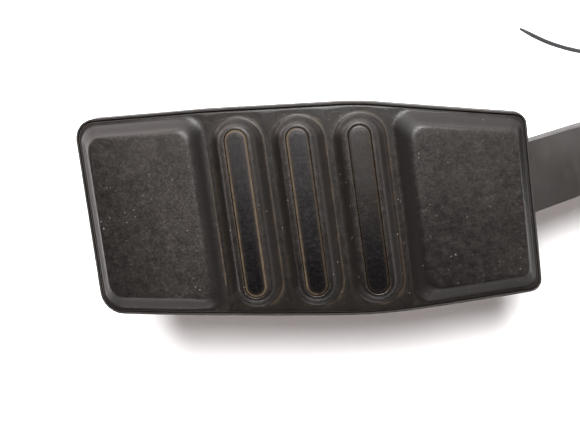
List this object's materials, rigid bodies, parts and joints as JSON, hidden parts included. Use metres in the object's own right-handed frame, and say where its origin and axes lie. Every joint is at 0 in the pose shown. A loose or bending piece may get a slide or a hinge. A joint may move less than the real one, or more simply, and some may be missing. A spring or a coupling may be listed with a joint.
{
  "type": "accelerator pedal",
  "caption": "Hanging accelerator pedal module: ribbed foot pad on a sprung arm that pivots in a bolt-on housing with an angle sensor and a connector.",
  "frame": {"origin": "centre of the housing's mounting face, on the centre plane of the pivot, straight below the pivot pin", "axes": "+Z points away from the mounting face towards the driver, +X from the foot pad towards the pivot end, +Y along the pivot pin towards the angle sensor"},
  "size_m": [0.3494, 0.1016, 0.1017],
  "materials": {
    "moulded_nylon": "black glass-filled nylon, fine grained, slightly worn",
    "tread": "black-brown semi-matt moulding, finely brushed by shoes",
    "grip": "dark blue-grey matt grip strip, dust in the groove round it",
    "plain_steel": "zinc-plated steel",
    "spring_steel": "oil-tempered spring steel",
    "natural_acetal": "natural acetal, slightly glossy",
    "bumper_rubber": "soft black rubber",
    "magnet": "sintered ferrite",
    "seal": "red-brown silicone",
    "board": "green solder mask",
    "chip": "black moulding compound",
    "terminal": "tin-brass blade",
    "tie_nylon": "black nylon, slightly glossy"
  },
  "bodies": {
    "housing_body": {"return_spring_outer": "spring_steel", "return_spring_inner": "spring_steel", "spring_plate": "natural_acetal", "idle_bumper": "bumper_rubber", "full_travel_bumper": "bumper_rubber", "friction_shoe": "natural_acetal", "friction_spring": "spring_steel", "housing": "moulded_nylon", "side_cover": "moulded_nylon", "cover_screw_1": "plain_steel", "cover_screw_2": "plain_steel", "cover_screw_3": "plain_steel", "cover_screw_4": "plain_steel", "bearing_bush_sensor_side": "natural_acetal", "bearing_bush_cover_side": "natural_acetal", "bolt_sleeve_1": "plain_steel", "bolt_sleeve_2": "plain_steel", "bolt_sleeve_3": "plain_steel", "sensor_case": "moulded_nylon", "sensor_lid": "moulded_nylon", "lid_seal": "seal", "sensor_screw_1": "plain_steel", "sensor_screw_2": "plain_steel", "sensor_screw_3": "plain_steel", "circuit_board": "board", "angle_chip_1": "chip", "angle_chip_2": "chip", "terminal_1": "terminal", "terminal_2": "terminal", "terminal_3": "terminal", "terminal_4": "terminal", "terminal_5": "terminal", "terminal_6": "terminal", "cable_tie": "tie_nylon"},
    "pedal": {"pedal_arm": "moulded_nylon", "pivot_pin": "plain_steel", "magnet_holder": "moulded_nylon", "ring_magnet": "magnet", "tread_cover": "tread", "grip_insert_1": "grip", "grip_insert_2": "grip", "grip_insert_3": "grip", "stud_retainer_1": "spring_steel", "stud_retainer_2": "spring_steel", "stud_retainer_3": "spring_steel", "stud_retainer_4": "spring_steel"},
    "seat": {"spring_seat": "natural_acetal"}
  },
  "joints": [
    {"name": "pedal_pivot", "type": "hinge", "parent": "housing_body", "child": "pedal", "pos_m": [0, 0, 0.044], "axis": [0, -1, 0], "range_deg": [0, 15], "stiffness_Nm_per_rad": 13, "springref_deg": -10.89, "deforming": ["return_spring_outer", "return_spring_inner"]},
    {"name": "spring_seat_rock", "type": "hinge", "parent": "pedal", "child": "seat", "pos_m": [-0.0033, 0, 0.019], "axis": [0, -1, 0], "range_deg": [-15, 0]}
  ],
  "couplings": [
    {"joint": "spring_seat_rock", "follows": "pedal_pivot", "ratio": -1}
  ]
}
